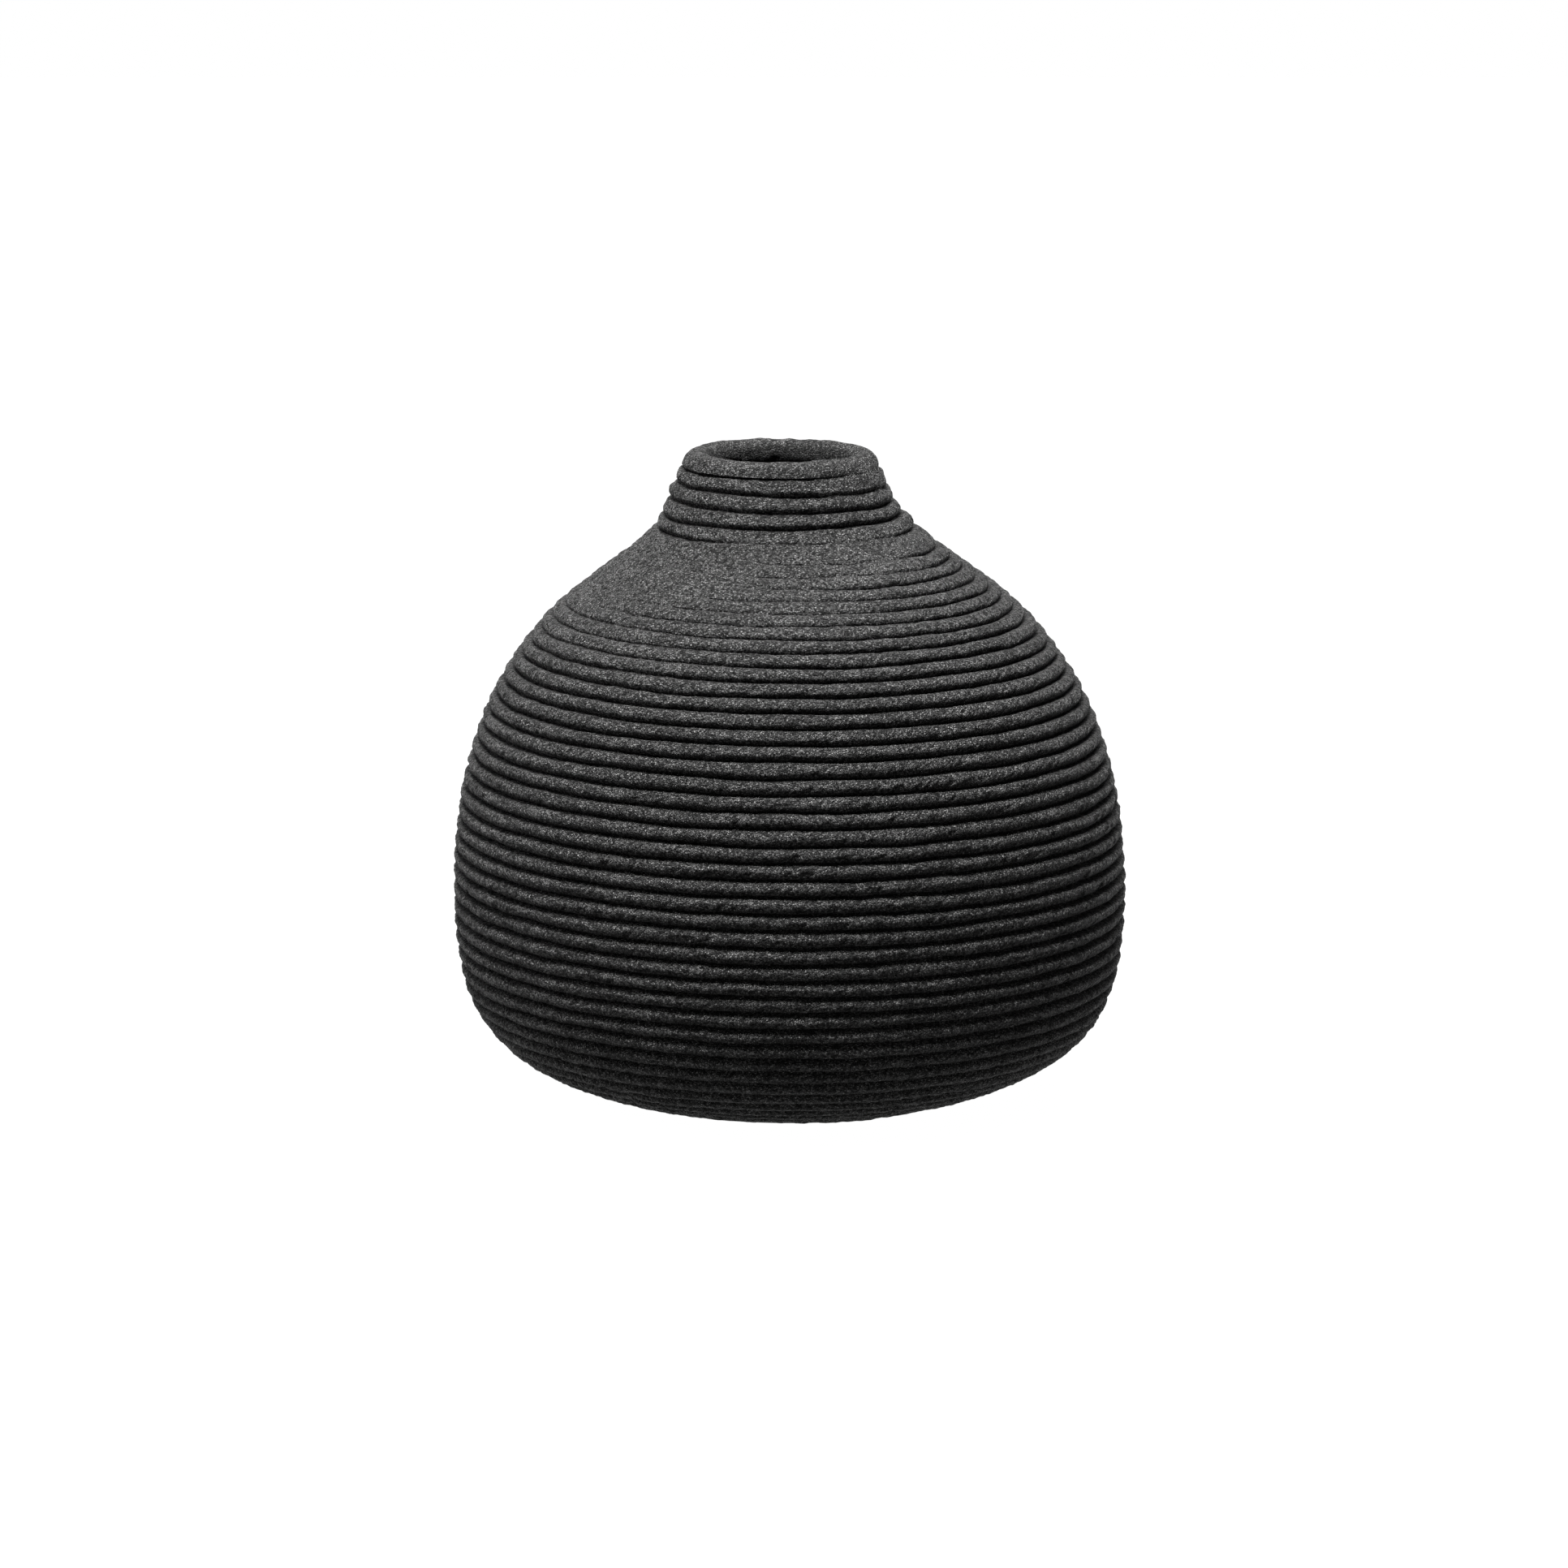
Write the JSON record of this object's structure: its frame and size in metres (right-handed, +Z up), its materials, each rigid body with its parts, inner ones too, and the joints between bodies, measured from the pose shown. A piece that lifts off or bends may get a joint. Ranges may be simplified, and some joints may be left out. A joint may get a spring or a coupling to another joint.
{
  "type": "coil-built stoneware vase",
  "caption": "Round-bellied stoneware vase with a short narrow neck, built from stacked clay coils on a flat base, matt and gritty all over.",
  "frame": {"origin": "on the ground, under the middle of the belly", "axes": "+Z up through the mouth; +X to the right and -Y towards the viewer when the vase is seen from its front"},
  "size_m": [0.16, 0.16, 0.1521],
  "materials": {
    "stoneware": "matt, sandy, unglazed",
    "bare_base": "matt, sandy, wiped flat"
  },
  "bodies": {
    "root": {"base_slab": "bare_base", "foot_coil_01": "stoneware", "foot_coil_02": "stoneware", "foot_coil_03": "stoneware", "foot_coil_04": "stoneware", "foot_coil_05": "stoneware", "foot_coil_06": "stoneware", "foot_coil_07": "stoneware", "body_coil_01": "stoneware", "body_coil_02": "stoneware", "body_coil_03": "stoneware", "body_coil_04": "stoneware", "body_coil_05": "stoneware", "body_coil_06": "stoneware", "body_coil_07": "stoneware", "body_coil_08": "stoneware", "body_coil_09": "stoneware", "body_coil_10": "stoneware", "body_coil_11": "stoneware", "body_coil_12": "stoneware", "body_coil_13": "stoneware", "body_coil_14": "stoneware", "body_coil_15": "stoneware", "body_coil_16": "stoneware", "body_coil_17": "stoneware", "body_coil_18": "stoneware", "body_coil_19": "stoneware", "body_coil_20": "stoneware", "body_coil_21": "stoneware", "body_coil_22": "stoneware", "body_coil_23": "stoneware", "body_coil_24": "stoneware", "body_coil_25": "stoneware", "body_coil_26": "stoneware", "body_coil_27": "stoneware", "body_coil_28": "stoneware", "shoulder_coil_01": "stoneware", "shoulder_coil_02": "stoneware", "shoulder_coil_03": "stoneware", "shoulder_coil_04": "stoneware", "shoulder_coil_05": "stoneware", "shoulder_coil_06": "stoneware", "collar_coil_01": "stoneware", "neck_coil_01": "stoneware", "neck_coil_02": "stoneware", "neck_coil_03": "stoneware", "neck_coil_04": "stoneware", "rim_coil": "stoneware"}
  },
  "joints": []
}
